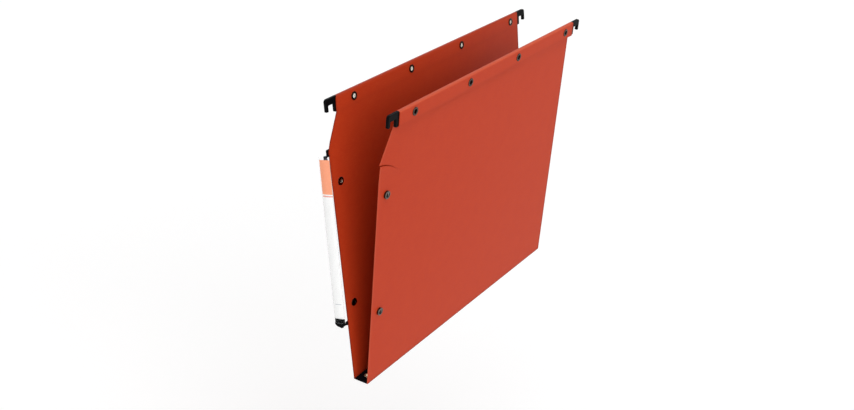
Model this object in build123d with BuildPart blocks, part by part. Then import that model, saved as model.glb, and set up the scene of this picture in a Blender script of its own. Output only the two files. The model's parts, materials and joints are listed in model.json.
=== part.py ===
from build123d import *
import os
from math import cos, radians, sin

os.makedirs("parts", exist_ok=True)

# A lateral suspension file: a card sheet creased into two leaning panels and a narrow base, hung from two
# rails by four hooks. X runs along the creases, with the label at the low end. Y runs across the file, with
# the front panel at the low side. The origin is midway between the four hook seats, at the rails' height.

FRONT = -1
REAR = 1
LABEL_END = -1
FAR_END = 1
SIDE_NAMES = {FRONT: "front", REAR: "rear"}
END_NAMES = {LABEL_END: "label", FAR_END: "far"}

# Whole file, in millimetres and degrees
rail_pitch = 330.0
panel_height = 279.6
base_inside = 15.0
lean = 5.0
card = 0.5
crease_gap = 0.1
fit = 0.05
overrun = 2.0

# Panel outline
label_overhang = 11.5
far_inset = 1.2
shoulder_step = 3.0
shoulder_drop = 29.9
hem_end_step = 1.6
slit_width = 0.4
slit_below_shoulder = 2.25
slit_reach = 30.0
slit_fall = 14.2
slit_radius = 58.6

# Hem and the rail inside it
hem_drop = 14.4
hem_round = 1.0
rail_thick = 3.2
rail_height = 13.4
rail_wall = 0.8
rail_web = 1.7
rail_end_gap = 0.3

# Hooks
slot_width = 8.5
hook_inner_leg = 3.75
hook_outer_leg = 3.0
hook_bridge = 6.1
hook_inner_drop = 14.2
hook_outer_drop = 11.7
hook_thick = 2.8
hook_shoulder_round = 2.8
hook_slot_round = 1.2
hook_tip_round = 0.7
hook_edge_round = 0.3
tongue_length = 11.0

# Hem eyelets and their washers
eyelet_shares = (-0.852, -0.2815, 0.279, 0.8987)
eyelet_bore = 2.2
eyelet_barrel = 2.65
eyelet_flange = 4.0
eyelet_roll = 3.4
eyelet_lip = 0.6
eyelet_round = 0.4
washer_radius = 4.0
washer_thick = 0.35

# Press-studs along the label-side edge
stud_height_shares = (0.2801, 0.7203)
stud_names = ("lower", "upper")
stud_inset = 12.0
press_flange = 3.9
press_lip = 0.45
press_round = 0.3
socket_radius = 3.8
socket_height = 1.9
socket_wall = 0.25
socket_mouth = 2.4
socket_post_bore = 1.6
socket_post_barrel = 2.0
socket_post_roll = 2.6
spring_wire = 0.25
spring_half_gap = 1.75
spring_bar_share = 0.75
stud_flange = 3.9
stud_base = 0.35
stud_radius = 2.1
stud_wall = 0.3
stud_height = 2.4
stud_crown = 0.6
stud_post_bore = 1.4
stud_post_barrel = 1.75
stud_post_length_share = 0.7

# Base strip and its rivets
strip_thick = 0.8
strip_side_gap = 0.3
strip_overhang = 0.6
strip_corner = 1.2
rivet_inset = 11.0
rivet_bore = 1.6
rivet_barrel = 2.0
rivet_flange = 3.4
rivet_lip = 0.45
rivet_round = 0.3

# Label holder: heights run along its own axis, from the middle of the bottom pivot arm
label_turn = 15.0
pivot_span = 168.0
pivot_below_shoulder = 5.3
stand_top = 4.97
stand_bottom = 8.82
pin_radius = 0.9
pin_running = 0.05
arm_half_width = 0.9
arm_height = 1.3
arm_overlap = 1.5
ring_radius = 1.7
plate_reach = 10.0
plate_past_edge = 1.7
plate_thick = 1.2
top_plate_below = 0.3
top_plate_above = 4.5
bottom_plate_below = 2.0
bottom_plate_above = 0.4
plate_round = 0.8
sleeve_width = 10.4
sleeve_wall = 0.3
sleeve_back = 1.95
sleeve_side = 2.9
sleeve_front = 4.2
sleeve_length = 163.8
notch_radius = 2.2
cap_rise = 4.2
cap_floor = 0.9
cap_boss = 2.0
cap_play = 0.3
cap_above_arm = 4.75
cap_pin_depth = 3.6
nose_drop = 4.2
nose_back = 2.1
nose_thick = 1.5
insert_thick = 0.3
insert_below_top = 2.8
insert_side_gap = 0.1
insert_foot_gap = 0.1
insert_behind_gap = 0.1
lug_height = 6.4
lug_pad_width = 7.0
lug_pad_thick = 0.9
collar_radius = 1.7
collar_height = 1.0
collar_play = 0.3
collar_round = 0.4
pin_above_ring = 0.6

# Places that follow from the sizes above: u runs along X, v up a panel from its crease, w out from its card
crease_y = base_inside / 2 + card / 2
hem_half = rail_pitch / 2 - slot_width / 2 - hook_inner_leg
label_edge = rail_pitch / 2 + label_overhang
far_edge = hem_half - far_inset
hem_low = panel_height - hem_drop
shoulder_v = hem_low - shoulder_drop
shoulder_u = hem_half + shoulder_step
hem_end = hem_half + hem_end_step
seat_v = panel_height - hook_bridge
rail_mid_v = panel_height - card - fit - rail_height / 2
rail_mid_w = card / 2 + fit + rail_thick / 2
hem_out = rail_mid_w + rail_thick / 2 + fit + card
crease_z = rail_mid_w * sin(radians(lean)) - seat_v * cos(radians(lean))
sheet_length = label_edge + far_edge
sheet_middle = (far_edge - label_edge) / 2
stud_u = stud_inset - label_edge
press_hole = stud_post_barrel + fit
socket_hole = socket_post_barrel + fit


def panel_plane(side):
    """A panel's plane, in the middle of its card and from its crease: x along it, y up it, z outward."""
    out = Vector(0, side * cos(radians(lean)), -sin(radians(lean)))
    return Plane(origin=(0, side * crease_y, crease_z), x_dir=(-side, 0, 0), z_dir=out)


def section_plane(side, u):
    """A cut across a panel at length u: sketch x is outward and sketch y is up the panel."""
    panel = panel_plane(side)
    start = panel.from_local_coords((-side * u, 0, 0))
    return Plane(origin=start, x_dir=panel.z_dir, z_dir=panel.z_dir.cross(panel.y_dir))


def fastener_plane(side, u, v):
    """A cut through a fastener's axis: sketch x is its radius and sketch y is outward from the card."""
    panel = panel_plane(side)
    middle = panel.from_local_coords((-side * u, v, 0))
    return Plane(origin=middle, x_dir=panel.x_dir, z_dir=panel.x_dir.cross(panel.z_dir))


def save(piece, label):
    piece.label = label
    export_step(piece, f"parts/{label}.step")


def turned_piece(label, plane, profile, rounded, radius):
    """A piece turned about the plane's y: profile holds (radius, height) corners, some of them rounded."""
    with BuildPart() as piece:
        with BuildSketch(plane) as section:
            with BuildLine():
                Polyline(*profile, close=True)
            make_face()
            fillet([section.vertices().sort_by_distance((*corner, 0))[0] for corner in rounded], radius)
        revolve(axis=Axis(plane.origin, plane.y_dir))
    save(piece.part, label)


def hollow_rivet(label, plane, bore, barrel, head, roll, lip, high, low, radius):
    """A hollow rivet between two faces: its head above the high one, its rolled end below the low one."""
    profile = (
        (bore, high + lip),
        (head, high + lip),
        (head, high),
        (barrel, high),
        (barrel, low),
        (roll, low),
        (roll, low - lip),
        (bore, low - lip),
    )
    turned_piece(label, plane, profile, (profile[0], profile[1], profile[6], profile[7]), radius)


# Card: each panel with its folded hem, and the base between the creases
def card_panel(side):
    panel = panel_plane(side)
    outline = (
        (side * label_edge, 0),
        (side * label_edge, shoulder_v),
        (side * shoulder_u, hem_low),
        (side * hem_end, panel_height - hem_round),
        (-side * far_edge, panel_height - hem_round),
        (-side * far_edge, 0),
    )
    with BuildPart() as panel_card:
        with BuildSketch(panel):
            with BuildLine():
                Polyline(*outline, close=True)
            make_face()
        extrude(amount=card / 2, both=True)
        with BuildSketch(section_plane(side, sheet_middle)):
            Circle(card / 2)
        extrude(amount=sheet_length / 2, both=True)
        with BuildSketch(section_plane(side, 0)) as hem:
            with Locations(((hem_out - card / 2) / 2, hem_low + hem_drop / 2)):
                Rectangle(hem_out + card / 2, hem_drop)
            fillet(hem.vertices().group_by(Axis.Y)[-1], hem_round)
            with Locations((rail_mid_w, hem_low + (hem_drop - card) / 2 - overrun / 2)):
                Rectangle(rail_thick + 2 * fit, hem_drop - card + overrun, mode=Mode.SUBTRACT)
        extrude(amount=hem_half, both=True)
        with BuildSketch(panel):
            with Locations((-side * (far_edge + overrun / 2), panel_height - hem_round - hem_drop / 2)):
                Rectangle(overrun, hem_drop)
        extrude(amount=card / 2 + fit, both=True, mode=Mode.SUBTRACT)
        with BuildSketch(panel):
            with Locations(*[(-side * share * hem_half, rail_mid_v) for share in eyelet_shares]):
                Circle(eyelet_barrel + fit)
            with Locations(*[(-side * stud_u, share * panel_height) for share in stud_height_shares]):
                Circle(socket_hole if side == FRONT else press_hole)
        extrude(amount=hem_out + overrun, both=True, mode=Mode.SUBTRACT)
        if side == FRONT:
            slit_start = (-label_edge, shoulder_v - slit_below_shoulder)
            slit_end = (slit_reach - label_edge, shoulder_v - slit_below_shoulder - slit_fall)
            with BuildSketch(panel):
                with BuildLine():
                    RadiusArc(slit_start, slit_end, slit_radius)
                trace(line_width=slit_width)
            extrude(amount=card, both=True, mode=Mode.SUBTRACT)
    save(panel_card.part, f"{SIDE_NAMES[side]}_card")


base_plane = Plane(origin=(sheet_middle, 0, crease_z))
rivet_places = {END_NAMES[end]: end * (sheet_length / 2 - rivet_inset) for end in (LABEL_END, FAR_END)}


def base_card():
    with BuildPart() as base:
        with BuildSketch(base_plane):
            Rectangle(sheet_length - 2 * strip_overhang, base_inside - 2 * crease_gap)
            with Locations(*[(place, 0) for place in rivet_places.values()]):
                Circle(rivet_barrel + fit, mode=Mode.SUBTRACT)
        extrude(amount=card / 2, both=True)
    save(base.part, "base_card")


def base_strip():
    with BuildPart() as strip:
        with BuildSketch(base_plane.offset(card / 2)) as outline:
            Rectangle(sheet_length, base_inside - 2 * strip_side_gap)
            fillet(outline.vertices(), strip_corner)
            with Locations(*[(place, 0) for place in rivet_places.values()]):
                Circle(rivet_barrel + fit, mode=Mode.SUBTRACT)
        extrude(amount=strip_thick)
    save(strip.part, "base_strip")


def base_rivet(name, place):
    plane = Plane(origin=base_plane.from_local_coords((place, 0, 0)), x_dir=(1, 0, 0), z_dir=(0, -1, 0))
    hollow_rivet(
        f"base_rivet_{name}",
        plane,
        rivet_bore,
        rivet_barrel,
        rivet_flange,
        rivet_flange,
        rivet_lip,
        card / 2 + strip_thick,
        -card / 2,
        rivet_round,
    )


# Rail: a hollow flat extrusion inside each hem, with a pocket at each end for a hook's tongue
def rail(side):
    with BuildPart() as bar:
        with BuildSketch(section_plane(side, 0)):
            with Locations((rail_mid_w, rail_mid_v)):
                Rectangle(rail_thick, rail_height)
                Rectangle(rail_thick - 2 * rail_wall, rail_height - 2 * rail_web, mode=Mode.SUBTRACT)
        extrude(amount=hem_half - rail_end_gap, both=True)
        with BuildSketch(panel_plane(side)):
            with Locations(*[(-side * share * hem_half, rail_mid_v) for share in eyelet_shares]):
                Circle(eyelet_barrel + fit)
        extrude(amount=hem_out + overrun, both=True, mode=Mode.SUBTRACT)
    save(bar.part, f"{SIDE_NAMES[side]}_rail")


# Hook: a flat moulding whose slot drops over a cupboard rail, with a tongue in the end of the hem's rail
def hook(side, end):
    way = -side * end
    inner = hem_half + fit
    slot_in = hem_half + hook_inner_leg
    slot_out = slot_in + slot_width
    outer = slot_out + hook_outer_leg
    inner_tip = panel_height - hook_inner_drop
    outer_tip = panel_height - hook_outer_drop
    outline = (
        (way * inner, panel_height),
        (way * outer, panel_height),
        (way * outer, outer_tip),
        (way * slot_out, outer_tip),
        (way * slot_out, seat_v),
        (way * slot_in, seat_v),
        (way * slot_in, inner_tip),
        (way * inner, inner_tip),
    )
    plane = panel_plane(side).offset(rail_mid_w)
    with BuildPart() as hook_body:
        with BuildSketch(plane) as shape:
            with BuildLine():
                Polyline(*outline, close=True)
            make_face()
            for corner, radius in (
                (outline[1], hook_shoulder_round),
                (outline[2], hook_tip_round),
                (outline[3], hook_tip_round),
                (outline[4], hook_slot_round),
                (outline[6], hook_tip_round),
                (outline[7], hook_tip_round),
            ):
                fillet(shape.vertices().sort_by_distance((*corner, 0))[0], radius)
        extrude(amount=hook_thick / 2, both=True)
        faces = hook_body.faces().filter_by(Axis(plane.origin, plane.z_dir))
        fillet(faces.edges(), hook_edge_round)
        with BuildSketch(plane):
            with Locations((way * (inner - tongue_length / 2), rail_mid_v)):
                Rectangle(tongue_length, rail_height - 2 * rail_web - 2 * fit)
        extrude(amount=rail_thick / 2 - rail_wall - fit, both=True)
    save(hook_body.part, f"{SIDE_NAMES[side]}_hook_{END_NAMES[end]}")


# Hem eyelets: a barrel headed on the hem's outer leaf and rolled over a washer on the inner face
def hem_eyelet(side, number, share):
    plane = fastener_plane(side, share * hem_half, rail_mid_v)
    washer_low = -card / 2 - washer_thick
    name = f"{SIDE_NAMES[side]}_eyelet"
    hollow_rivet(
        f"{name}_{number}",
        plane,
        eyelet_bore,
        eyelet_barrel,
        eyelet_flange,
        eyelet_roll,
        eyelet_lip,
        hem_out,
        washer_low,
        eyelet_round,
    )
    with BuildPart() as washer:
        with BuildSketch(panel_plane(side).offset(washer_low)):
            with Locations((-side * share * hem_half, rail_mid_v)):
                Circle(washer_radius)
                Circle(eyelet_barrel + fit, mode=Mode.SUBTRACT)
        extrude(amount=washer_thick)
    save(washer.part, f"{name}_washer_{number}")


# Press-stud sockets on the front panel: shell, hairpin spring and the hollow post that clamps them
def press_socket(name, share):
    plane = fastener_plane(FRONT, stud_u, share * panel_height)
    foot = card / 2
    top = foot + socket_height
    shell = (
        (socket_hole, foot),
        (socket_radius, foot),
        (socket_radius, top),
        (socket_mouth, top),
        (socket_mouth, top - 2 * socket_wall),
        (socket_mouth + socket_wall, top - 2 * socket_wall),
        (socket_mouth + socket_wall, top - socket_wall),
        (socket_radius - socket_wall, top - socket_wall),
        (socket_radius - socket_wall, foot + socket_wall),
        (socket_hole, foot + socket_wall),
    )
    turned_piece(f"front_socket_{name}", plane, shell, (shell[2],), press_round)
    post = (
        (socket_post_bore, foot + socket_wall + fit + press_lip),
        (socket_post_roll, foot + socket_wall + fit + press_lip),
        (socket_post_roll, foot + socket_wall + fit),
        (socket_post_barrel, foot + socket_wall + fit),
        (socket_post_barrel, -foot),
        (press_flange, -foot),
        (press_flange, -foot - press_lip),
        (socket_post_bore, -foot - press_lip),
    )
    turned_piece(f"front_socket_post_{name}", plane, post, (post[1], post[6]), press_round)
    cavity = socket_radius - socket_wall - fit
    bend = cavity - spring_wire - spring_half_gap
    bar = spring_bar_share * cavity
    level = top - 2 * socket_wall - fit - spring_wire
    panel = panel_plane(FRONT)
    middle = panel.from_local_coords((stud_u, share * panel_height, level))
    with BuildPart() as spring:
        with BuildLine(Plane(middle, panel.x_dir, panel.z_dir)):
            first = Line((-spring_half_gap, bar), (-spring_half_gap, -bend))
            turn = ThreePointArc(first @ 1, (0, -bend - spring_half_gap), (spring_half_gap, -bend))
            Line(turn @ 1, (spring_half_gap, bar))
        with BuildSketch(Plane(first @ 0, z_dir=first % 0)):
            Circle(spring_wire)
        sweep()
    save(spring.part, f"front_socket_spring_{name}")


# Press-studs on the rear panel: a hollow stud outside, on a post headed inside
def press_stud(name, share):
    plane = fastener_plane(REAR, stud_u, share * panel_height)
    foot = card / 2
    top = foot + stud_height
    stud = (
        (stud_radius - stud_wall, foot),
        (stud_flange, foot),
        (stud_flange, foot + stud_base),
        (stud_radius, foot + stud_base),
        (stud_radius, top),
        (0, top),
        (0, top - stud_wall),
        (stud_radius - stud_wall, top - stud_wall),
    )
    turned_piece(f"rear_stud_{name}", plane, stud, (stud[4],), stud_crown)
    length = stud_post_length_share * stud_height
    post = (
        (stud_post_bore, foot + length),
        (stud_post_barrel, foot + length),
        (stud_post_barrel, -foot),
        (press_flange, -foot),
        (press_flange, -foot - press_lip),
        (stud_post_bore, -foot - press_lip),
    )
    turned_piece(f"rear_stud_post_{name}", plane, post, (post[4], post[5]), press_round)


# Label holder: a clear sleeve that swivels between two brackets on the rear panel's edge
rear_plane = panel_plane(REAR)
pivot_v = shoulder_v - pivot_below_shoulder
pivot_low = rear_plane.from_local_coords((label_edge + stand_bottom, pivot_v - pivot_span, 0))
pivot_high = rear_plane.from_local_coords((label_edge + stand_top, pivot_v, 0))
label_axis = Axis(pivot_low, pivot_high - pivot_low)
away = rear_plane.x_dir - label_axis.direction * rear_plane.x_dir.dot(label_axis.direction)
bracket_plane = Plane(origin=pivot_low, x_dir=away, z_dir=label_axis.direction)
facing = away.rotate(Axis((0, 0, 0), label_axis.direction), label_turn)
label_plane = Plane(origin=pivot_low, x_dir=facing, z_dir=label_axis.direction)
pivot_top = (pivot_high - pivot_low).length
sleeve_low = arm_height / 2 + cap_above_arm
sleeve_high = sleeve_low + sleeve_length
ring_low = pivot_top - arm_height / 2
collar_low = ring_low - collar_play - collar_height
lug_low = collar_low - collar_play - lug_height
pin_hole = pin_radius + pin_running


def sleeve_section(grow):
    """The edges of the sleeve's D section, flat behind and bowed in front, grown on all sides."""
    half = sleeve_width / 2 + grow
    back = sleeve_back - grow
    with BuildLine() as section:
        Polyline((sleeve_side, -half), (back, -half), (back, half), (sleeve_side, half))
        ThreePointArc((sleeve_side, half), (sleeve_front + grow, 0), (sleeve_side, -half))
    return section.edges()


def label_sleeve():
    with BuildPart() as sleeve:
        with BuildSketch(label_plane.offset(sleeve_low)):
            make_face(sleeve_section(0))
            make_face(sleeve_section(-sleeve_wall), mode=Mode.SUBTRACT)
        extrude(amount=sleeve_length)
        notch_middle = label_plane.from_local_coords((sleeve_side, 0, sleeve_high))
        with BuildSketch(Plane(notch_middle, label_plane.y_dir, label_plane.x_dir)):
            Circle(notch_radius)
        extrude(amount=sleeve_front, mode=Mode.SUBTRACT)
    save(sleeve.part, "label_sleeve")


def label_insert():
    behind = sleeve_back + sleeve_wall + insert_behind_gap
    foot = sleeve_low + cap_rise + insert_foot_gap
    with BuildPart() as insert:
        with BuildSketch(label_plane.offset(foot)):
            with Locations((behind + insert_thick / 2, 0)):
                Rectangle(insert_thick, sleeve_width - 2 * sleeve_wall - 2 * insert_side_gap)
        extrude(amount=sleeve_high - insert_below_top - foot)
    save(insert.part, "label_insert")


def label_cap():
    """The black bottom cap: a plug in the sleeve's end, a floor, a boss behind and a rounded nose below."""
    half = sleeve_width / 2
    boss_low = arm_height / 2 + cap_play
    cap_low = sleeve_low - fit
    with BuildPart() as cap:
        with BuildSketch(label_plane.offset(cap_low)):
            make_face(sleeve_section(-sleeve_wall - fit))
        extrude(amount=cap_rise)
        with BuildSketch(label_plane.offset(cap_low - cap_floor)):
            make_face(sleeve_section(0))
            with Locations((sleeve_back / 2, 0)):
                Rectangle(sleeve_back, 2 * cap_boss)
        extrude(amount=cap_floor)
        with BuildSketch(label_plane.offset(boss_low)):
            Circle(cap_boss)
        extrude(amount=cap_low - boss_low)
        nose_start = label_plane.from_local_coords((nose_back, 0, cap_low))
        with BuildSketch(Plane(nose_start, label_plane.y_dir, label_plane.x_dir)):
            with BuildLine():
                Line((-half, 0), (half, 0))
                ThreePointArc((half, 0), (0, -nose_drop), (-half, 0))
            make_face()
        extrude(amount=nose_thick)
        with BuildSketch(label_plane.offset(boss_low)):
            Circle(pin_hole)
        extrude(amount=cap_pin_depth, mode=Mode.SUBTRACT)
    save(cap.part, "label_cap")


def label_lug():
    """The lug behind the sleeve's top, bored for the pivot."""
    pad_back = sleeve_back - fit - lug_pad_thick
    with BuildPart() as lug:
        with BuildSketch(label_plane.offset(lug_low)):
            with Locations((pad_back + lug_pad_thick / 2, 0)):
                Rectangle(lug_pad_thick, lug_pad_width)
            Circle(sleeve_back - fit)
            Circle(pin_radius + fit, mode=Mode.SUBTRACT)
        extrude(amount=lug_height)
    save(lug.part, "label_lug")


def label_pivot():
    """The round pivot between the lug and the top bracket."""
    plane = Plane(pivot_low, label_plane.x_dir, label_plane.x_dir.cross(label_plane.z_dir))
    profile = (
        (0, lug_low),
        (pin_radius, lug_low),
        (pin_radius, collar_low),
        (collar_radius, collar_low),
        (collar_radius, collar_low + collar_height),
        (pin_radius, collar_low + collar_height),
        (pin_radius, ring_low + arm_height + pin_above_ring),
        (0, ring_low + arm_height + pin_above_ring),
    )
    turned_piece("label_pivot", plane, profile, (profile[3], profile[4], profile[6]), collar_round)


def label_bracket(name, low, stand, v, below, above, is_top):
    """A bracket: a plate on the panel's outer face and an arm past its edge to the label's pivot."""
    plate_length = plate_reach + plate_past_edge
    with BuildPart() as bracket:
        with BuildSketch(rear_plane.offset(card / 2 + fit)) as plate:
            plate_middle = label_edge + plate_past_edge - plate_length / 2
            with Locations((plate_middle, v + (above - below) / 2)):
                Rectangle(plate_length, arm_height + below + above)
            fillet(plate.vertices(), plate_round)
        extrude(amount=plate_thick)
        with BuildSketch(bracket_plane.offset(low)):
            arm_length = stand - plate_past_edge + arm_overlap
            with Locations((-arm_length / 2, 0)):
                Rectangle(arm_length, 2 * arm_half_width)
            Circle(ring_radius)
            if is_top:
                Circle(pin_hole, mode=Mode.SUBTRACT)
        extrude(amount=arm_height)
        if not is_top:
            with BuildSketch(bracket_plane.offset(low + arm_height)):
                Circle(pin_radius)
            extrude(amount=cap_pin_depth)
    save(bracket.part, f"label_bracket_{name}")


base_card()
base_strip()
for end_name, rivet_place in rivet_places.items():
    base_rivet(end_name, rivet_place)
for panel_side in (FRONT, REAR):
    card_panel(panel_side)
    rail(panel_side)
    for panel_end in (LABEL_END, FAR_END):
        hook(panel_side, panel_end)
    for eyelet_number, eyelet_share in enumerate(eyelet_shares, 1):
        hem_eyelet(panel_side, eyelet_number, eyelet_share)
for stud_name, height_share in zip(stud_names, stud_height_shares):
    press_socket(stud_name, height_share)
    press_stud(stud_name, height_share)
label_sleeve()
label_insert()
label_cap()
label_lug()
label_pivot()
label_bracket("top", ring_low, stand_top, pivot_v, top_plate_below, top_plate_above, True)
label_bracket(
    "bottom",
    -arm_height / 2,
    stand_bottom,
    pivot_v - pivot_span,
    bottom_plate_below,
    bottom_plate_above,
    False,
)
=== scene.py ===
import json

import bpy
import numpy as np
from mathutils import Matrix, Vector


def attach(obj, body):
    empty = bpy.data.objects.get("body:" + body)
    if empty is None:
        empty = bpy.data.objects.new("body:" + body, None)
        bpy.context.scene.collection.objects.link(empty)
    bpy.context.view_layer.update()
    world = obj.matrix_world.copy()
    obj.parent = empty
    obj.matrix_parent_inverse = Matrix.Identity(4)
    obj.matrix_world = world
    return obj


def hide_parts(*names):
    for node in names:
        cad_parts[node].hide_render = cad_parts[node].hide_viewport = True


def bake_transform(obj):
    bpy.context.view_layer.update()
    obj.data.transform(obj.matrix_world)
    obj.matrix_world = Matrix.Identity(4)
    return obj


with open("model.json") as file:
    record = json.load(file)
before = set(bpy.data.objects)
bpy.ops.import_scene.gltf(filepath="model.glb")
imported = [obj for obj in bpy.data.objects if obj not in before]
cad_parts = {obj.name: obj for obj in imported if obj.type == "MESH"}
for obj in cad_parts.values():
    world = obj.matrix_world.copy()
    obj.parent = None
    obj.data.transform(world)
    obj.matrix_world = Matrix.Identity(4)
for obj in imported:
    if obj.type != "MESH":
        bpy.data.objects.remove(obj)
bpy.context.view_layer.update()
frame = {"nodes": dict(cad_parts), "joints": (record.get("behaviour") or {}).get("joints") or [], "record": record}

# A lateral suspension file: one card sheet creased into two panels and a base, with riveted hems,
# rail hooks, press-studs and a clear label holder. Sizes and places are in millimetres, as in the CAD,
# and angles in degrees, apart from the few that say metres.
MM = 0.001
TINY = 1e-6
JOINTS = {joint["name"]: joint for joint in frame["joints"]}
MOUNTS = {mount["name"]: mount for mount in frame["record"]["mounts"]}
SLOT_OF = {part["node"]: part["material_slot"] for part in frame["record"]["subparts"]}

# Card: on a panel u runs along the crease, v up the card from the crease and w outward
CARD = 0.5
PANEL_HEIGHT = 279.6
LABEL_EDGE = 176.5
FAR_EDGE = 155.8
SHOULDER_U = 160.0
SHOULDER_V = 235.3
CREASE_ROUND = 0.3
BASE_TAIL = 0.35
BASE_INSET = 0.6

# Hem: the card goes over the rail and down outside it, and its ends are turned in
HEM_DROP = 14.4
HEM_OUT = 3.8
HEM_ROUND = 1.1
HEM_HALF = 157.0
HEM_END = 158.6
HEM_LOW = PANEL_HEIGHT - HEM_DROP
HEM_TOP = PANEL_HEIGHT - CARD / 2 - HEM_ROUND

# Slit in the front panel, from its label edge: the rows from its foot up to the hem bend to its curve
SLIT_BELOW = 2.4
SLIT_REACH = 30.0
SLIT_FALL = 14.2
SLIT_BULGE = 2.6
SLIT_OPEN = 0.95
SLIT_LIFT = 0.7
SLIT_LIFT_BELOW = 14.0
SLIT_SINK = 0.35
SLIT_TAPER = 0.7
SLIT_CALM_REACHES = 2.6
SLIT_FOOT = 207.5
SLIT_V = SHOULDER_V - SLIT_BELOW

# Holes for the hem eyelets and the press-studs
EYELET_U = (-133.76, -44.2, 43.8, 141.1)
EYELET_V = 272.35
EYELET_HOLE = 3.0
STUD_U = -164.5
STUD_V = (78.32, 201.4)
STUD_HOLE = {"front": 2.6, "rear": 2.3}

# Stations of the sheet's grid: the widest steps, those that folds, edges and holes need, the places past
# which the columns are squeezed to the outline, and the zones that follow each other along the sheet
ROW_STEP = 9.0
FLAP_STEP = 3.0
COLUMN_STEP = 9.0
HOLE_MARGIN = 3.0
FOOT_ROWS = (1.0, 2.5, 6.0)
SLIT_HEAD_ROW = 241.0
HEM_FOOT_ROWS = (5.0, 2.0, 0.0)
HEM_TOP_GAP = 0.4
FLAP_LIP = 0.8
EDGE_COLUMNS = (0.0, 0.6, 2.0, 5.0)
SLIT_CELLS = 10
ARC_POINTS = 7
LABEL_CALM = 150.0
FAR_CALM = 148.0
CREASE, PANEL, BENDS, FLAP = range(4)

# Wear and painted light: above zero the card is paler, from rubbing and as a painted highlight, below zero it is
# darker, mostly as painted shade, and each fades over its reach
# Hem fold: a painted highlight on the front, where light catches the fold, and darker on the rear
FOLD_HIGHLIGHT_AND_DARKENING = {"front": 0.8, "rear": -0.35}
FOLD_HIGHLIGHT_AND_DARKENING_BELOW = 0.5
# Label edge: paler on the front from rubbing; on the rear, painted shade, the label's shadow on the edge
EDGE_WEAR_AND_SHADE = {"front": 0.5, "rear": -0.8}
EDGE_WEAR_AND_SHADE_REACH = 0.8
# Painted shade: darker along the foot, where the crease's rounding lies in shadow
FOOT_SHADE_REACH = 0.9
# Darker towards the far edge
FAR_DARKENING_REACH = 0.7
# Painted shade: a dark line just under the hem's lower edge, where the hem shades the panel
HEM_SHADE = 0.09
HEM_SHADE_REACH = 2.0

# Label strip: its turn, place and size in the sleeve, and the print on it, measured from its foot
LABEL_TURN = 15.0
INSERT_WIDTH = 9.6
INSERT_LENGTH = 156.7
INSERT_FOOT = 9.7
INSERT_BACK = 2.35
INSERT_THICK = 0.3
INSERT_BOW = 0.35
INSERT_COLUMNS = 11
INSERT_ROWS = 81
GREY_RULE = (14.2, 14.86)
GREY_RULE_HALF = 3.15
RED_RULE = (121.8, 122.6)
HEAD_LOW = 124.0

# Painted reflection in the rear panel's eyelet bores and on the upper stud: how far outside the card its middle
# lies, and how far it reaches
BORE_OUT = 2.0
BORE_REFLECTION_REACH = 3.0
STUD_OUT = -0.3
STUD_REFLECTION_REACH = 2.2

# Sockets of a Mix node that mixes colours
MIX_A, MIX_B, MIX_OUT = 6, 7, 2
WHITE = (1.0, 1.0, 1.0, 1.0)
SHARP_ANGLE = 35.0


def linear(code):
    """An sRGB hex code as linear red, green, blue and alpha."""
    part = np.array([int(code[i:i + 2], 16) for i in (1, 3, 5)]) / 255
    part = np.where(part <= 0.04045, part / 12.92, ((part + 0.055) / 1.055) ** 2.4)
    return (*part.tolist(), 1.0)


def add(tree, kind, inputs=None, **settings):
    """Adds a node with its settings. An input is a value, or another node's output to link to it."""
    node = tree.nodes.new(kind)
    for name, value in settings.items():
        setattr(node, name, value)
    for key, value in (inputs or {}).items():
        if isinstance(value, bpy.types.NodeSocket):
            tree.links.new(value, node.inputs[key])
        else:
            node.inputs[key].default_value = value
    return node


def spread(keys, step):
    """Stations through all the keys, with even ones between neighbours that lie more than a step apart."""
    keys = np.unique(np.round(keys, 5))
    counts = np.ceil(np.diff(keys) / step - TINY).astype(int)
    runs = [np.linspace(a, b, n, endpoint=False) for a, b, n in zip(keys[:-1], keys[1:], counts)]
    return np.concatenate(runs + [keys[-1:]])


def smooth(low, high, x):
    """A share that rises from 0 at low to 1 at high along an S curve."""
    t = np.clip((x - low) / (high - low), 0, 1)
    return t * t * (3 - 2 * t)


def grid_quads(lower, upper):
    """Faces between neighbouring rows and columns of a grid.

    A row's points have one number for the faces under it and one for those over it, so a row can be split.
    """
    return np.stack([upper[:-1, :-1], upper[:-1, 1:], lower[1:, 1:], lower[1:, :-1]], axis=2)


def shell(name, middle, normal, quads, thick, uv, worn_and_painted_light):
    """A closed shell: faces lie half the thickness from the middle surface, and open edges get a wall."""
    count = len(middle)
    points = np.concatenate([middle + normal * thick / 2, middle - normal * thick / 2])
    edges = quads[:, [[0, 1], [1, 2], [2, 3], [3, 0]]].reshape(-1, 2)
    there, back = edges @ (count, 1), edges @ (1, count)
    a, b = edges[~np.isin(there, back)].T
    walls = np.column_stack([a, a + count, b + count, b])
    faces = np.concatenate([quads, quads[:, ::-1] + count, walls])
    mesh = bpy.data.meshes.new(name)
    mesh.from_pydata(points.tolist(), [], faces.tolist())
    flat = mesh.uv_layers.new(name="flat")
    flat.data.foreach_set("uv", np.tile(uv, (2, 1))[faces.ravel()].ravel())
    wear_and_painted_light = mesh.attributes.new("worn_and_painted_light", "FLOAT", "POINT")
    wear_and_painted_light.data.foreach_set("value", np.tile(worn_and_painted_light, 2).astype(np.float32))
    mesh.polygons.foreach_set("use_smooth", np.ones(len(faces), bool))
    mesh.set_sharp_from_angle(angle=np.radians(SHARP_ANGLE))
    piece = bpy.data.objects.new(name, mesh)
    bpy.context.scene.collection.objects.link(piece)
    return piece


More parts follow.
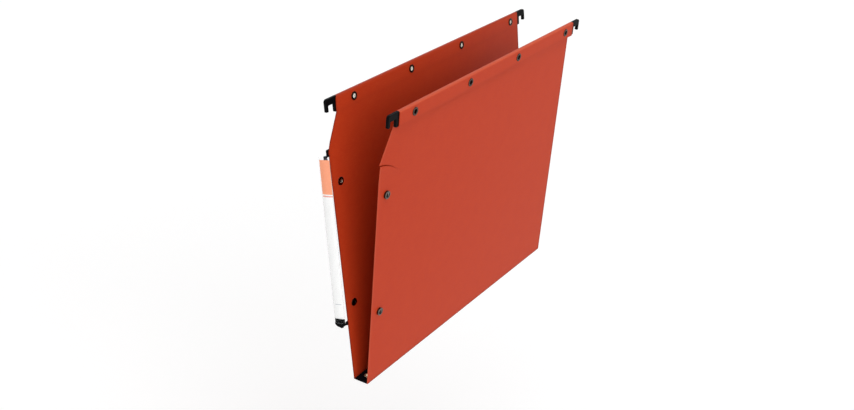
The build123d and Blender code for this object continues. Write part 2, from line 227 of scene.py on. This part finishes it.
def panel_axes(side):
    """The crease's point at X = 0 in metres, and the directions along it, up the card and outward."""
    crease = np.array(JOINTS[f"{side}_fold"]["pos_m"]) * (0, 1, 1)
    up = -np.array(MOUNTS[f"{side}_hook_label_seat"]["axis"])
    along = np.array((1.0, 0.0, 0.0))
    out = np.cross(along, up)
    return crease, along, up, out * np.sign(out[1] * crease[1])


def crease_reach(lean):
    """How far the crease's arc reaches up the panel: its radius times the tangent of half its turn."""
    return CREASE_ROUND * np.tan((np.pi / 2 - lean) / 2)


def around(radius):
    """Stations across a hole, with one more a margin outside it on each side."""
    return np.array((-radius - HOLE_MARGIN, -radius, 0, radius, radius + HOLE_MARGIN))


def sheet_stations(side, lean):
    """Rows up the panel, rows of the flap and columns along the crease: close at folds, edges and holes."""
    stud = around(STUD_HOLE[side])
    stud_rows = np.add.outer(STUD_V, stud).ravel()
    slit_rows = (SLIT_FOOT, SLIT_V, SLIT_HEAD_ROW)
    hem_foot_rows = np.subtract(HEM_LOW, HEM_FOOT_ROWS)
    eyelet_rows = np.add(EYELET_V, (-EYELET_HOLE, 0, EYELET_HOLE))
    last_row = HEM_TOP - HEM_TOP_GAP
    first_rows = [crease_reach(lean), *FOOT_ROWS, *stud_rows, *slit_rows]
    panel_rows = spread([*first_rows, *hem_foot_rows, *eyelet_rows, last_row], ROW_STEP)
    flap_rows = spread([last_row, *eyelet_rows, HEM_LOW + FLAP_LIP, HEM_LOW], FLAP_STEP)[::-1]

    eyelet_columns = np.add.outer(EYELET_U, around(EYELET_HOLE)).ravel()
    edge_columns = [*np.subtract(EDGE_COLUMNS, LABEL_EDGE), *np.subtract(FAR_EDGE, EDGE_COLUMNS)]
    slit_columns = np.linspace(0, SLIT_REACH, SLIT_CELLS + 1) - LABEL_EDGE
    hole_columns = [*eyelet_columns, *(STUD_U + stud)]
    columns = spread([*hole_columns, *edge_columns, *slit_columns, -LABEL_CALM, FAR_CALM], COLUMN_STEP)
    return panel_rows, flap_rows, columns


def sheet_path(lean, panel_rows, flap_rows):
    """The sheet's middle line as rows of height and outward place, with its normals, lengths and zones.

    A short line under the base, an arc of 90 degrees less the lean round the crease, a line up the panel,
    an arc, a line and an arc over the rail, and a line down the flap. On an arc the point is the centre
    plus or minus the radius times the normal, and the normal is the turned direction of travel.
    """
    turn = np.pi / 2 - lean
    reach = crease_reach(lean)
    tail = -np.array((BASE_TAIL, reach))[:, None] * (np.cos(turn), np.sin(turn))
    arc = np.linspace(turn, 0, ARC_POINTS)[1:-1]
    crease = np.column_stack([reach - CREASE_ROUND * np.sin(arc), CREASE_ROUND * (np.cos(arc) - 1)])
    panel = np.column_stack([panel_rows, 0 * panel_rows])
    bends = []
    for start, out in ((0, HEM_ROUND), (np.pi / 2, HEM_OUT - HEM_ROUND)):
        bend = np.linspace(start, start + np.pi / 2, ARC_POINTS)
        bends.append(np.column_stack([HEM_TOP + HEM_ROUND * np.sin(bend), out - HEM_ROUND * np.cos(bend)]))
    flap = np.column_stack([flap_rows, 0 * flap_rows + HEM_OUT])
    path = np.concatenate([tail, crease, panel, *bends, flap])
    travel = np.gradient(path, axis=0)
    travel /= np.linalg.norm(travel, axis=1)[:, None]
    normal = np.column_stack([-travel[:, 1], travel[:, 0]])
    length = np.concatenate([[0], np.cumsum(np.linalg.norm(np.diff(path, axis=0), axis=1))])
    counts = [len(tail) + len(crease), len(panel), len(bends) * ARC_POINTS, len(flap)]
    return path, normal, length, np.repeat((CREASE, PANEL, BENDS, FLAP), counts)


def slit_fall(along_slit, v):
    """How far a point sinks to the slit's curve: a straight fall less a parabola.

    Past the slit's end the fall fades along the crease, and under and over the slit it fades up the card.
    """
    fall = SLIT_FALL * along_slit - 4 * SLIT_BULGE * along_slit * (1 - along_slit)
    fall = np.where(along_slit < 1, fall, SLIT_FALL * (1 - smooth(1, SLIT_CALM_REACHES, along_slit)))
    return fall * np.where(v < SLIT_V, smooth(SLIT_FOOT, SLIT_V, v), 1 - smooth(SLIT_V, HEM_LOW, v))


def to_outline(u, v, length, zone, reach):
    """Squeezes the outer columns in proportion, so that the outermost ones follow the outline.

    The label edge is straight up to the shoulder and slants in from there to the hem. The ends are drawn
    in at the crease, and over the hem's first bend.
    """
    at_crease, at_hem = (zone == CREASE)[:, None], (zone >= BENDS)[:, None]
    inset = BASE_INSET * (v < reach / 2)
    turned_in = np.clip((length - length[zone == BENDS][0]) / (np.pi / 2 * HEM_ROUND), 0, 1)[:, None]
    label = np.interp(v, [0, SHOULDER_V, HEM_LOW, HEM_TOP], [LABEL_EDGE, LABEL_EDGE, SHOULDER_U, HEM_END])
    label = np.where(at_crease, LABEL_EDGE - inset, label)
    label = np.where(at_hem, HEM_END + (HEM_HALF - HEM_END) * turned_in, label)
    far = np.where(at_crease, FAR_EDGE - inset, FAR_EDGE)
    far = np.where(at_hem, FAR_EDGE + (HEM_HALF - FAR_EDGE) * turned_in, far)
    label_share = (-u - LABEL_CALM) / (LABEL_EDGE - LABEL_CALM)
    far_share = (u - FAR_CALM) / (FAR_EDGE - FAR_CALM)
    u = np.where(label_share > 0, -LABEL_CALM - label_share * (label - LABEL_CALM), u)
    return np.where(far_share > 0, FAR_CALM + far_share * (far - FAR_CALM), u)


def cut_holes(side, u, v, heights, zone, columns):
    """Leaves out four cells for each hole, and draws the corners of their block in to an octagon."""
    kept = np.ones((len(heights) - 1, len(columns) - 1), bool)
    holes = [(EYELET_U, EYELET_V, EYELET_HOLE, PANEL), (EYELET_U, EYELET_V, EYELET_HOLE, FLAP)]
    holes += [((STUD_U,), height, STUD_HOLE[side], PANEL) for height in STUD_V]
    down, aside = np.array((-1, -1, 1, 1)), np.array((-1, 1, -1, 1))
    for places, height, radius, where in holes:
        row = np.flatnonzero(zone == where)[np.argmin(abs(heights[zone == where] - height))]
        drawn_in = radius * np.sqrt(0.5)
        for place in places:
            column = np.argmin(abs(columns - place))
            kept[row - 1:row + 1, column - 1:column + 1] = False
            corners = row + down, column + aside
            u[corners] = place + aside * drawn_in
            v[corners] = height + np.sign(heights[row + down] - height) * drawn_in
    return kept


def sheet_wear_and_painted_light(side, u, v):
    """A painted highlight on the front hem's fold and darker on the rear's, the front label edge paler from
    rubbing and painted shade on the rear's, less painted shade at the foot and under the hem, and darker at the
    far edge.
    """
    label_rim = abs(u + np.interp(v, [0, SHOULDER_V, HEM_LOW], [LABEL_EDGE, LABEL_EDGE, SHOULDER_U]))
    fold = FOLD_HIGHLIGHT_AND_DARKENING[side] * smooth(HEM_TOP - FOLD_HIGHLIGHT_AND_DARKENING_BELOW, PANEL_HEIGHT - CARD / 2, v)
    edge = EDGE_WEAR_AND_SHADE[side] * np.exp(-label_rim / EDGE_WEAR_AND_SHADE_REACH)
    darkening_and_painted_shade = np.exp(-np.maximum(v, 0) / FOOT_SHADE_REACH) + np.exp(-abs(u - FAR_EDGE) / FAR_DARKENING_REACH)
    darkening_and_painted_shade += HEM_SHADE * np.exp(-((v - HEM_LOW) / HEM_SHADE_REACH) ** 2)
    return np.clip(fold + edge - darkening_and_painted_shade, -1, 1)


def card_sheet(side):
    """One panel as a creased sheet: a grid of columns along the crease and rows along the sheet's path.

    The columns are squeezed to the outline. On the front panel the rows also sink to the slit's curve, and
    the slit's row is split: the lower lip is lifted outward, and the upper lip is drawn up and inward, all
    by a power of the share of the slit that is still ahead.
    """
    crease, along, up, out = panel_axes(side)
    lean = np.arctan2(abs(up[1]), up[2])
    panel_rows, flap_rows, columns = sheet_stations(side, lean)
    path, normal, length, zone = sheet_path(lean, panel_rows, flap_rows)
    shape = (len(path), len(columns))
    u = np.broadcast_to(columns, shape)
    v = np.broadcast_to(path[:, :1], shape)
    w = np.broadcast_to(path[:, 1:], shape)
    step = np.broadcast_to(length[:, None], shape)
    along_slit = (u + LABEL_EDGE) / SLIT_REACH
    lip = np.clip(1 - along_slit, 0, 1) ** SLIT_TAPER
    slit_row = np.flatnonzero(zone == PANEL)[np.argmin(abs(panel_rows - SLIT_V))]
    if side == "front":
        under_slit = ((zone == PANEL) & (np.arange(len(path)) <= slit_row))[:, None]
        w = w + under_slit * SLIT_LIFT * lip * smooth(SLIT_V - SLIT_LIFT_BELOW, SLIT_V, v)
        v = v - (zone == PANEL)[:, None] * slit_fall(along_slit, v)
    u = to_outline(u, v, length, zone, crease_reach(lean))
    v = v.copy()
    kept = cut_holes(side, u, v, path[:, 0], zone, columns)

    grid = np.stack([u, v, w, step], axis=2).reshape(-1, 4)
    turn = np.repeat(normal, len(columns), axis=0)
    lower = np.arange(len(grid)).reshape(shape)
    upper = lower.copy()
    if side == "front":
        cut = np.flatnonzero(columns < SLIT_REACH - LABEL_EDGE - TINY)
        split = lower[slit_row, cut]
        upper[slit_row, cut] = len(grid) + np.arange(len(cut))
        raised = grid[split]
        raised[:, 1] += SLIT_OPEN * lip[slit_row, cut]
        raised[:, 2] = -SLIT_SINK * lip[slit_row, cut]
        grid = np.concatenate([grid, raised])
        turn = np.concatenate([turn, turn[split]])
    quads = grid_quads(lower, upper)[kept]
    if side == "rear":
        quads = quads[:, ::-1]

    u, v, w, step = grid.T
    middle = crease + MM * (u[:, None] * along + v[:, None] * up + w[:, None] * out)
    facing = turn[:, :1] * up + turn[:, 1:] * out
    flat = MM * np.column_stack([u, step])
    piece = shell(f"{side}_sheet", middle, facing, quads, CARD * MM, flat, sheet_wear_and_painted_light(side, u, v))
    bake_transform(piece)
    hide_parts(f"{side}_card")
    return piece


def label_strip():
    """The printed strip in the label sleeve: a grid over width and length, bowed forward as a parabola."""
    swivel = JOINTS["label_swivel"]
    axis = np.array(swivel["axis"]) / np.linalg.norm(swivel["axis"])
    away = np.array((-1.0, 0.0, 0.0))
    away -= axis * (away @ axis)
    away /= np.linalg.norm(away)
    turn = np.radians(LABEL_TURN)
    facing = away * np.cos(turn) + np.cross(axis, away) * np.sin(turn)
    across = np.cross(axis, facing)
    half = INSERT_WIDTH / 2
    widths = np.linspace(-half, half, INSERT_COLUMNS)
    y, z = np.meshgrid(widths, np.linspace(0, INSERT_LENGTH, INSERT_ROWS))
    index = np.arange(y.size).reshape(y.shape)
    y, z = y.ravel(), z.ravel()
    x = INSERT_BACK + INSERT_THICK / 2 + INSERT_BOW * (1 - (y / half) ** 2)
    place = x[:, None] * facing + y[:, None] * across + (INSERT_FOOT + z)[:, None] * axis
    middle = np.array(swivel["pos_m"]) + MM * place
    normal = np.tile(facing, (y.size, 1))
    quads = grid_quads(index, index).reshape(-1, 4)
    flat = MM * np.column_stack([y, z])
    piece = shell("label_strip_paper", middle, normal, quads, INSERT_THICK * MM, flat, 0 * x)
    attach(piece, "label_strip")
    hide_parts("label_insert")
    return piece


def new_material(name):
    """A material with nodes, its node tree and its Principled shader."""
    material = bpy.data.materials.new(name)
    material.use_nodes = True
    tree = material.node_tree
    return material, tree, tree.nodes["Principled BSDF"]


def dyed_kraft_board(name, coordinate):
    """Kraft board dyed red-orange in the pulp and calendered.

    To the eye it is even and slightly sheened, with soft clouds and fibres along the sheet. It is paler on the
    front label edge from rubbing and as a painted highlight on the front hem's fold, and darker as painted shade
    at the foot, under the hem and on the rear label edge, plus a darker far edge and rear hem fold.
    """
    cloud_size = 14.0
    # Real fibres are 2 by 0.03 mm: they are drawn coarser, as fine as the picture can show.
    fibre_length, fibre_width, fibre_relief = 6.0, 0.9, 0.05
    material, tree, shader = new_material(name)
    place = add(tree, "ShaderNodeTexCoord").outputs[coordinate]
    cloud_scale = 1 / (cloud_size * MM)
    clouds = add(tree, "ShaderNodeTexNoise", {"Vector": place, "Scale": cloud_scale, "Detail": 3.0})
    fibre_scale = 1 / (np.array((fibre_length, fibre_width, fibre_width)) * MM)
    grain = add(tree, "ShaderNodeMapping", {"Vector": place, "Scale": fibre_scale})
    fibres = add(tree, "ShaderNodeTexNoise", {"Vector": grain.outputs[0], "Scale": 1.0, "Detail": 2.0})
    fibre_share = add(
        tree, "ShaderNodeMapRange",
        {"Value": fibres.outputs[0], "From Min": 0.42, "From Max": 0.75, "To Max": 0.35},
    )
    wear_and_painted_light = add(tree, "ShaderNodeAttribute", attribute_name="worn_and_painted_light").outputs["Fac"]
    rubbed_and_painted_highlight = add(tree, "ShaderNodeMapRange", {"Value": wear_and_painted_light, "To Max": 0.45})
    darkening_and_painted_shade = add(tree, "ShaderNodeMapRange", {"Value": wear_and_painted_light, "From Max": -1.0, "To Max": 0.75})
    skin = add(
        tree, "ShaderNodeMix",
        {"Factor": clouds.outputs[0], MIX_A: linear("#B33315"), MIX_B: linear("#BA3A18")},
        data_type="RGBA",
    )
    # Pale marks are rubbing plus a painted highlight; the dark mark colour is mostly painted shade
    for share, colour in ((fibre_share, "#C34923"), (rubbed_and_painted_highlight, "#DB7257"), (darkening_and_painted_shade, "#4A1712")):
        skin = add(
            tree, "ShaderNodeMix",
            {"Factor": share.outputs[0], MIX_A: skin.outputs[MIX_OUT], MIX_B: linear(colour)},
            data_type="RGBA",
        )
    tree.links.new(skin.outputs[MIX_OUT], shader.inputs["Base Color"])
    rough = add(tree, "ShaderNodeMapRange", {"Value": fibres.outputs[0], "To Min": 0.42, "To Max": 0.62})
    tree.links.new(rough.outputs[0], shader.inputs["Roughness"])
    shader.inputs["Specular IOR Level"].default_value = 0.13
    bump = add(
        tree, "ShaderNodeBump",
        {"Height": fibres.outputs[0], "Strength": 0.25, "Distance": fibre_relief * MM},
    )
    tree.links.new(bump.outputs[0], shader.inputs["Normal"])
    return material


def moulded_plastic(name, dark, pale, roughness, grain_size):
    """Moulded or extruded polypropylene or acetal: satin, finely grained, with faint handling marks."""
    mark_size, grain_relief, rough_spread = 11.0, 0.04, 0.1
    material, tree, shader = new_material(name)
    place = add(tree, "ShaderNodeTexCoord").outputs["Object"]
    grain_scale, mark_scale = 1 / (grain_size * MM), 1 / (mark_size * MM)
    grain = add(tree, "ShaderNodeTexNoise", {"Vector": place, "Scale": grain_scale, "Detail": 2.0})
    marks = add(tree, "ShaderNodeTexNoise", {"Vector": place, "Scale": mark_scale, "Detail": 3.0})
    tone = add(
        tree, "ShaderNodeMix",
        {"Factor": marks.outputs[0], MIX_A: linear(dark), MIX_B: linear(pale)},
        data_type="RGBA",
    )
    tree.links.new(tone.outputs[MIX_OUT], shader.inputs["Base Color"])
    smoothest, roughest = roughness - rough_spread, roughness + rough_spread
    rough = add(
        tree, "ShaderNodeMapRange",
        {"Value": marks.outputs[0], "To Min": smoothest, "To Max": roughest},
    )
    tree.links.new(rough.outputs[0], shader.inputs["Roughness"])
    shader.inputs["IOR"].default_value = 1.49
    shader.inputs["Specular IOR Level"].default_value = 0.035
    bump = add(
        tree, "ShaderNodeBump",
        {"Height": grain.outputs[0], "Strength": 0.3, "Distance": grain_relief * MM},
    )
    tree.links.new(bump.outputs[0], shader.inputs["Normal"])
    return material


def plated_metal(name, face, wall, roughness, reflection_colour=None, middles=(), reach=0.0):
    """Pressed steel, drawn wire or brass: a bright plated skin, spotted with tarnish.

    Faces that look along Y differ in tone from bores and rims: a darker wall paints shade into bores and rims,
    and a paler one paints a highlight on them. Within a reach of the given middles the skin takes the colour of a
    painted reflection, as in a bore that shines.
    """
    tarnish_size, fade, polish, dulling = 2.5, 1.05, 0.06, 0.1
    material, tree, shader = new_material(name)
    source = add(tree, "ShaderNodeTexCoord").outputs
    place = source["Object"]
    tarnish_scale = 1 / (tarnish_size * MM)
    tarnish = add(tree, "ShaderNodeTexNoise", {"Vector": place, "Scale": tarnish_scale, "Detail": 3.0})
    # Painted light: bores and rims take the wall colour, which is painted shade where darker than the face and a
    # painted highlight where paler
    parts = add(tree, "ShaderNodeSeparateXYZ", {"Vector": source["Normal"]})
    level = add(tree, "ShaderNodeMath", {0: parts.outputs["Y"]}, operation="ABSOLUTE")
    faced = add(tree, "ShaderNodeMapRange", {"Value": level.outputs[0], "From Min": 0.25, "From Max": 0.6})
    skin = add(
        tree, "ShaderNodeMix",
        {"Factor": faced.outputs[0], MIX_A: linear(wall), MIX_B: linear(face)},
        data_type="RGBA",
    )
    # Painted reflection: near each middle the skin turns to the reflection's colour
    for middle in middles:
        apart = add(tree, "ShaderNodeVectorMath", {0: place, 1: tuple(middle)}, operation="DISTANCE")
        inside = add(
            tree, "ShaderNodeMapRange",
            {"Value": apart.outputs["Value"], "From Min": fade * reach, "From Max": reach},
        )
        skin = add(
            tree, "ShaderNodeMix",
            {"Factor": inside.outputs[0], MIX_A: skin.outputs[MIX_OUT], MIX_B: linear(reflection_colour)},
            data_type="RGBA",
        )
    spots = add(
        tree, "ShaderNodeMapRange",
        {"Value": tarnish.outputs[0], "From Min": 0.4, "From Max": 0.8, "To Max": 0.3},
    )
    tone = add(
        tree, "ShaderNodeMix",
        {"Factor": spots.outputs[0], MIX_A: skin.outputs[MIX_OUT], MIX_B: linear("#4A433D")},
        data_type="RGBA",
    )
    tree.links.new(tone.outputs[MIX_OUT], shader.inputs["Base Color"])
    shader.inputs["Metallic"].default_value = 1.0
    rough = add(
        tree, "ShaderNodeMapRange",
        {"Value": tarnish.outputs[0], "To Min": roughness - polish, "To Max": roughness + dulling},
    )
    tree.links.new(rough.outputs[0], shader.inputs["Roughness"])
    return material


def clear_vinyl(name):
    """Extruded clear vinyl: glossy and water-clear, with faint draw lines along the sleeve."""
    line_width, line_length = 0.8, 60.0
    material, tree, shader = new_material(name)
    place = add(tree, "ShaderNodeTexCoord").outputs["Object"]
    line_scale = 1 / (np.array((line_width, line_width, line_length)) * MM)
    lines = add(tree, "ShaderNodeMapping", {"Vector": place, "Scale": line_scale})
    drawn = add(tree, "ShaderNodeTexNoise", {"Vector": lines.outputs[0], "Scale": 1.0, "Detail": 1.0})
    rough = add(tree, "ShaderNodeMapRange", {"Value": drawn.outputs[0], "To Min": 0.02, "To Max": 0.09})
    tree.links.new(rough.outputs[0], shader.inputs["Roughness"])
    shader.inputs["Base Color"].default_value = linear("#F7FAFC")
    shader.inputs["IOR"].default_value = 1.53
    film = add(tree, "ShaderNodeBsdfTransparent", {"Color": WHITE})
    sheen = add(tree, "ShaderNodeLayerWeight", {"Blend": 0.18})
    share = add(tree, "ShaderNodeMapRange", {"Value": sheen.outputs["Fresnel"], "To Max": 0.35})
    wall = add(
        tree, "ShaderNodeMixShader",
        {"Fac": share.outputs[0], 1: film.outputs[0], 2: shader.outputs[0]},
    )
    tree.links.new(wall.outputs[0], tree.nodes["Material Output"].inputs["Surface"])
    return material


def printed_label_paper(name):
    """Uncoated white label paper, a little mottled, printed with an orange head, a red and a grey rule."""
    pulp_size = 1.6
    paper = linear("#FEFEFD")
    bands = (
        (0.0, paper), (GREY_RULE[0], linear("#C6C9CE")), (GREY_RULE[1], paper),
        (RED_RULE[0], linear("#F3A79D")), (RED_RULE[1], paper), (HEAD_LOW, linear("#FFA881")),
    )
    material, tree, shader = new_material(name)
    flat = add(tree, "ShaderNodeTexCoord").outputs["UV"]
    parts = add(tree, "ShaderNodeSeparateXYZ", {"Vector": flat}).outputs
    share = add(tree, "ShaderNodeMath", {0: parts["Y"], 1: INSERT_LENGTH * MM}, operation="DIVIDE")
    printed = add(tree, "ShaderNodeValToRGB", {"Fac": share.outputs[0]})
    ramp = printed.color_ramp
    ramp.interpolation = "CONSTANT"
    while len(ramp.elements) < len(bands):
        ramp.elements.new(0.5)
    for element, (low, colour) in zip(ramp.elements, bands):
        element.position = low / INSERT_LENGTH
        element.color = colour
    # The grey rule, in the lower half, stops short of the strip's edges
    aside = add(tree, "ShaderNodeMath", {0: parts["X"]}, operation="ABSOLUTE")
    past_rule = add(
        tree, "ShaderNodeMath", {0: aside.outputs[0], 1: GREY_RULE_HALF * MM}, operation="GREATER_THAN"
    )
    low_half = add(tree, "ShaderNodeMath", {0: share.outputs[0], 1: 0.5}, operation="LESS_THAN")
    bare = add(
        tree, "ShaderNodeMath", {0: past_rule.outputs[0], 1: low_half.outputs[0]}, operation="MULTIPLY"
    )
    ink = add(
        tree, "ShaderNodeMix",
        {"Factor": bare.outputs[0], MIX_A: printed.outputs[0], MIX_B: paper},
        data_type="RGBA",
    )
    pulp = add(tree, "ShaderNodeTexNoise", {"Vector": flat, "Scale": 1 / (pulp_size * MM), "Detail": 3.0})
    shade = add(tree, "ShaderNodeMapRange", {"Value": pulp.outputs[0], "To Min": 0.94, "To Max": 1.04})
    tone = add(
        tree, "ShaderNodeVectorMath",
        {0: ink.outputs[MIX_OUT], "Scale": shade.outputs[0]}, operation="SCALE",
    )
    tree.links.new(tone.outputs[0], shader.inputs["Base Color"])
    rough = add(tree, "ShaderNodeMapRange", {"Value": pulp.outputs[0], "To Min": 0.6, "To Max": 0.8})
    tree.links.new(rough.outputs[0], shader.inputs["Roughness"])
    return material


def seen_ray(tree):
    """One where the camera looks, also by gloss or clear plastic, and zero for what lights the file."""
    path = add(tree, "ShaderNodeLightPath").outputs
    seen = path["Is Camera Ray"]
    for kind in ("Is Glossy Ray", "Is Transmission Ray"):
        seen = add(tree, "ShaderNodeMath", {0: seen, 1: path[kind]}, operation="MAXIMUM").outputs[0]
    return seen


def pale_floor():
    """A plain floor under the hanging file, in metres: it takes the shadow and looks white around it."""
    reach, level = 8.0, -0.6
    corners = np.array(((-1, -1), (1, -1), (1, 1), (-1, 1))) * reach
    mesh = bpy.data.meshes.new("floor")
    mesh.from_pydata(np.column_stack([corners, np.full(4, level)]).tolist(), [], [(0, 1, 2, 3)])
    floor = bpy.data.objects.new("floor", mesh)
    bpy.context.scene.collection.objects.link(floor)
    material, tree, shader = new_material("pale_floor")
    shader.inputs["Base Color"].default_value = linear("#F2F2F2")
    shader.inputs["Roughness"].default_value = 0.9
    shader.inputs["Specular IOR Level"].default_value = 0.0
    shader.inputs["Emission Color"].default_value = WHITE
    glow = add(tree, "ShaderNodeMapRange", {"Value": seen_ray(tree), "To Max": 0.19})
    tree.links.new(glow.outputs[0], shader.inputs["Emission Strength"])
    mesh.materials.append(material)


def studio_light():
    """An even sky that looks white, and two broad soft lamps: one from the front and one from above."""
    scene = bpy.context.scene
    scene.view_settings.view_transform = "Standard"
    scene.world = bpy.data.worlds.new("studio_sky")
    scene.world.use_nodes = True
    tree = scene.world.node_tree
    strength = add(tree, "ShaderNodeMapRange", {"Value": seen_ray(tree), "To Min": 0.45, "To Max": 1.0})
    sky = tree.nodes["Background"]
    sky.inputs["Color"].default_value = WHITE
    tree.links.new(strength.outputs[0], sky.inputs["Strength"])
    for name, towards, energy, angle in (
        ("key_softbox", (0.45, 0.85, -0.3), 1.34, 50),
        ("top_softbox", (0.15, 0.3, -1.0), 1.18, 60),
    ):
        lamp = bpy.data.lights.new(name, "SUN")
        lamp.energy = energy
        lamp.angle = np.radians(angle)
        holder = bpy.data.objects.new(name, lamp)
        holder.rotation_euler = Vector(towards).to_track_quat("-Z", "Y").to_euler()
        scene.collection.objects.link(holder)


def photo_camera():
    """The photograph's camera, which looks down 26 degrees from the label end: its place is in metres."""
    place = (-0.87430, -0.55389, 0.34853)
    back = (-0.742330, -0.507337, 0.437670)
    sensor, focal_pixels, frame_pixels = 36.0, 1117.26, 854
    data = bpy.data.cameras.new("photo_camera")
    data.sensor_width = sensor
    data.lens = sensor * focal_pixels / frame_pixels
    camera = bpy.data.objects.new("photo_camera", data)
    camera.location = place
    camera.rotation_euler = Vector(back).to_track_quat("Z", "Y").to_euler()
    bpy.context.scene.collection.objects.link(camera)
    bpy.context.scene.camera = camera


def rear_point(u, v, w):
    """A place on the rear panel as a point in metres."""
    crease, along, up, out = panel_axes("rear")
    return crease + MM * (u * along + v * up + w * out)


photo_camera()
pale_floor()
studio_light()

SLOT_FINISHES = {
    "card": dyed_kraft_board("dyed_kraft_board_base", "Object"),
    "black_plastic": moulded_plastic("moulded_black_polypropylene", "#060607", "#0D0E10", 0.42, 0.9),
    "strip_plastic": moulded_plastic("pressed_strip_polypropylene", "#07080B", "#101217", 0.4, 1.2),
    "rail_plastic": moulded_plastic("extruded_black_polypropylene", "#0B0B0B", "#141414", 0.5, 0.9),
    "grey_plastic": moulded_plastic("moulded_grey_acetal", "#55606E", "#6C7885", 0.35, 0.9),
    # The nickels' darker walls are painted shade in bores and rims; the spring wire's paler walls are a painted
    # highlight
    "nickel_steel": plated_metal("dark_nickel_plated_steel", "#4A3A33", "#2C2420", 0.26),
    "spring_steel": plated_metal("drawn_spring_wire", "#B5B2AC", "#DAD8D4", 0.2),
    "brass_rivet": plated_metal("pale_plated_brass", "#DCCDAE", "#DCCDAE", 0.3),
    "clear_plastic": clear_vinyl("clear_extruded_vinyl"),
    "label_paper": printed_label_paper("printed_label_paper"),
}
# Fasteners whose plating differs from their slot's, with a painted reflection in the rear eyelets' bores and, of
# the two studs, only on the upper one
bore_with_painted_reflection = plated_metal(
    "nickel_steel_with_painted_bore_reflection", "#33261F", "#3A2C25", 0.14,
    reflection_colour="#F4EFE8", middles=[rear_point(u, EYELET_V, BORE_OUT) for u in EYELET_U], reach=BORE_REFLECTION_REACH * MM,
)
stud_with_painted_reflection = plated_metal(
    "nickel_steel_with_painted_stud_reflection", "#2E2420", "#241B17", 0.2,
    reflection_colour="#E4DCC8", middles=[rear_point(STUD_U, STUD_V[1], STUD_OUT)], reach=STUD_REFLECTION_REACH * MM,
)
socket_shell = plated_metal("pale_nickel_plated_steel", "#625B55", "#453F3A", 0.24)
for node_name, node_object in frame["nodes"].items():
    finish = SLOT_FINISHES[SLOT_OF[node_name]]
    if node_name.startswith("rear_eyelet") and "washer" not in node_name:
        finish = bore_with_painted_reflection
    elif node_name.startswith("rear_stud"):
        finish = stud_with_painted_reflection
    elif node_name.startswith("front_socket") and "spring" not in node_name:
        finish = socket_shell
    node_object.data.materials.clear()
    node_object.data.materials.append(finish)

sheet_board = dyed_kraft_board("dyed_kraft_board_sheet", "UV")
for panel_side in ("front", "rear"):
    card_sheet(panel_side).data.materials.append(sheet_board)
label_strip().data.materials.append(SLOT_FINISHES["label_paper"])
